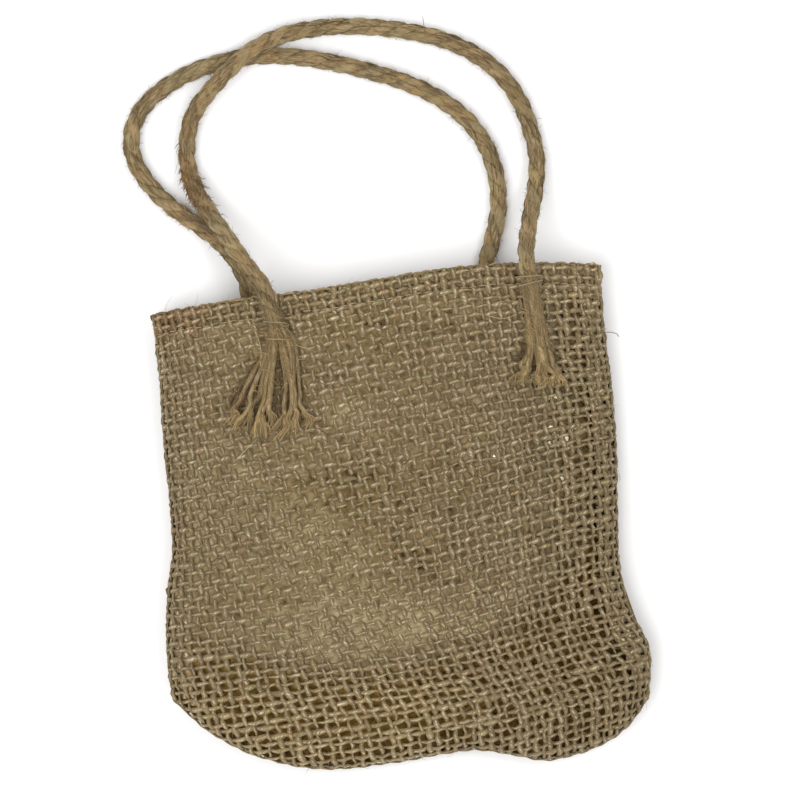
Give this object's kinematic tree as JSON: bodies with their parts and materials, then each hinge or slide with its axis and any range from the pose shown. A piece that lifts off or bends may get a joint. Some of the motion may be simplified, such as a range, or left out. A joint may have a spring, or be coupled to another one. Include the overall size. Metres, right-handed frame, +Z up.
{
  "type": "jute tote bag",
  "caption": "Small open-weave jute tote bag lying on its back, with a clear film lining and rope handles ending in frayed tassels.",
  "frame": {"origin": "middle of the bag in plan without its handles, on the surface it lies on", "axes": "+X across the bag to its right side, +Y from the base to the mouth, +Z up out of the front panel"},
  "size_m": [0.1605, 0.2526, 0.0323],
  "materials": {
    "jute_cloth": "open plain weave, hairy and matt",
    "jute_rope": "laid three-strand rope, hairy and matt",
    "clear_film": "clear and glossy, softly creased"
  },
  "bodies": {
    "root": {"bag_cloth": "jute_cloth", "lining_film": "clear_film", "handle_rope_front": "jute_rope", "handle_rope_back": "jute_rope", "tassel_front_left": "jute_rope", "tassel_front_right": "jute_rope", "tassel_back_left": "jute_rope", "tassel_back_right": "jute_rope"}
  },
  "joints": []
}
